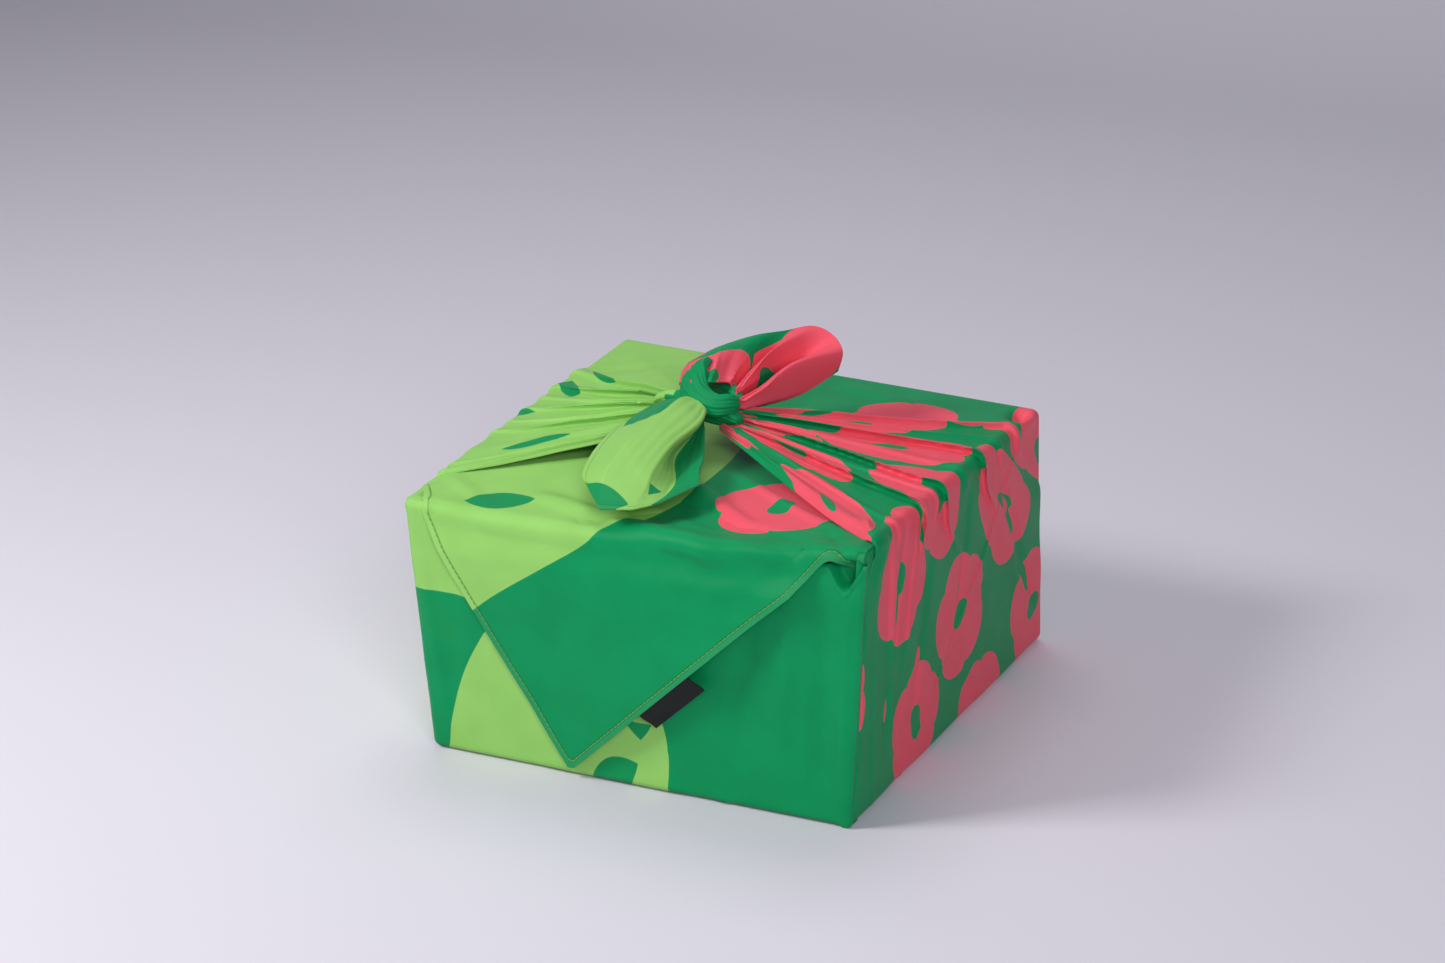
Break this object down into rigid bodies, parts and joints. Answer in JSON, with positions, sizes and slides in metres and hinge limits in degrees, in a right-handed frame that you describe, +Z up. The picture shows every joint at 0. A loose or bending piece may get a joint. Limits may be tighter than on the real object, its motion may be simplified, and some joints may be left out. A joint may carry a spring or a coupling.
{
  "type": "furoshiki wrap",
  "caption": "Square printed cloth wrapped round a parcel and tied on top in a square knot, with two ears and a hemmed flap down the front.",
  "frame": {"origin": "on the floor under the middle of the parcel", "axes": "+Z up, -Y towards the face with the hanging flap, +X to the right of someone who looks at that face"},
  "size_m": [0.2941, 0.3179, 0.2179],
  "materials": {
    "printed_cloth": "satin",
    "woven_label": "woven"
  },
  "bodies": {
    "root": {"wrapping_cloth": "printed_cloth", "care_label": "woven_label"}
  },
  "joints": []
}
